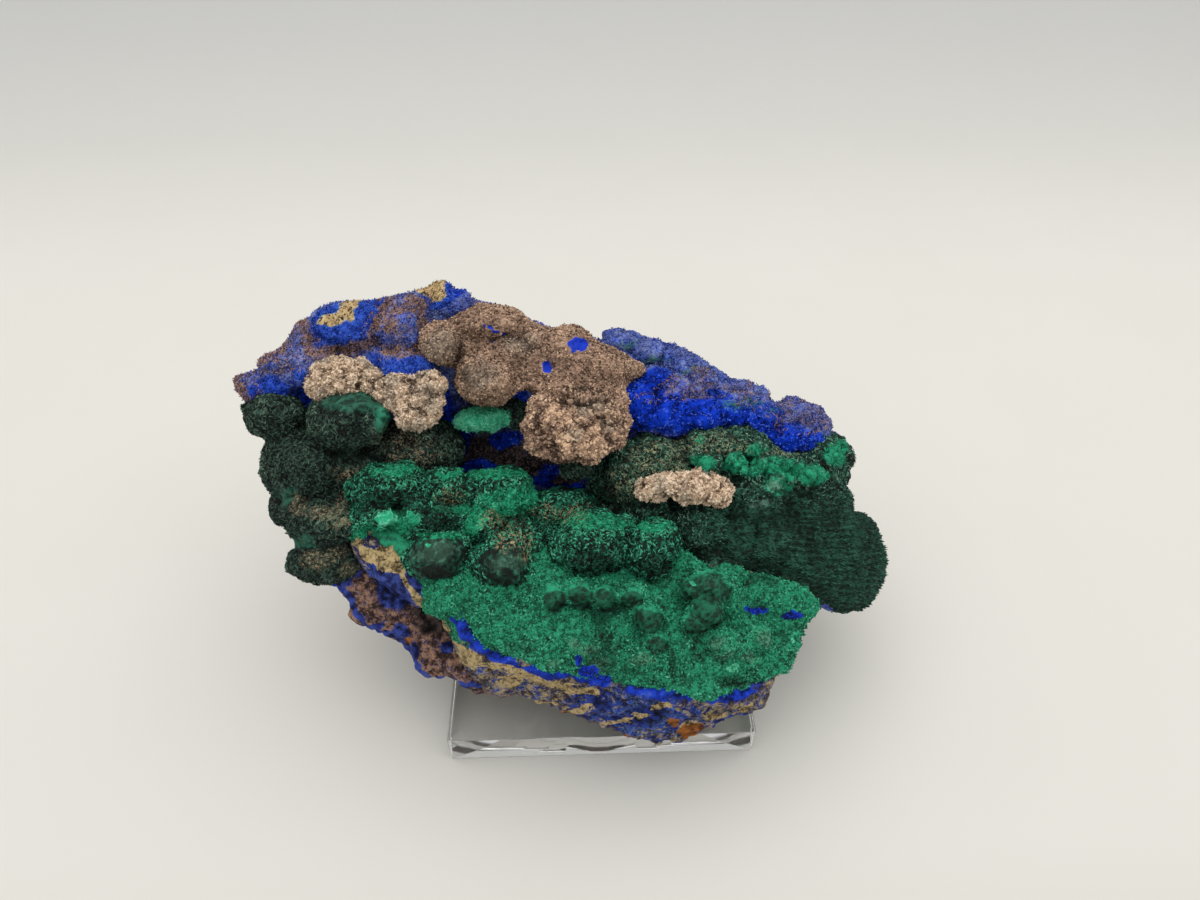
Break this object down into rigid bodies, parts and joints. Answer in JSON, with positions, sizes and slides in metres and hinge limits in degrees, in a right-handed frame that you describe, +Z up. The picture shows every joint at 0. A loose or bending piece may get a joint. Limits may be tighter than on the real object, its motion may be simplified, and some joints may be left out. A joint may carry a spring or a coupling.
{
  "type": "azurite and malachite specimen on a clear stand",
  "caption": "Azurite and malachite mineral specimen with pale crust, leaning on a clear block stand with upright pegs.",
  "frame": {"origin": "centre of the stand's underside", "axes": "+X along the specimen's length, to the viewer's right; -Y towards the viewer; +Z up"},
  "size_m": [0.1626, 0.0955, 0.0897],
  "materials": {
    "rock": "velvety and drusy blue azurite, green botryoidal malachite and beige crust",
    "acrylic": "clear cast acrylic with polished faces"
  },
  "bodies": {
    "root": {"specimen": "rock", "stand_base": "acrylic", "peg_front": "acrylic", "peg_back_left": "acrylic", "peg_back_right": "acrylic"}
  },
  "joints": []
}
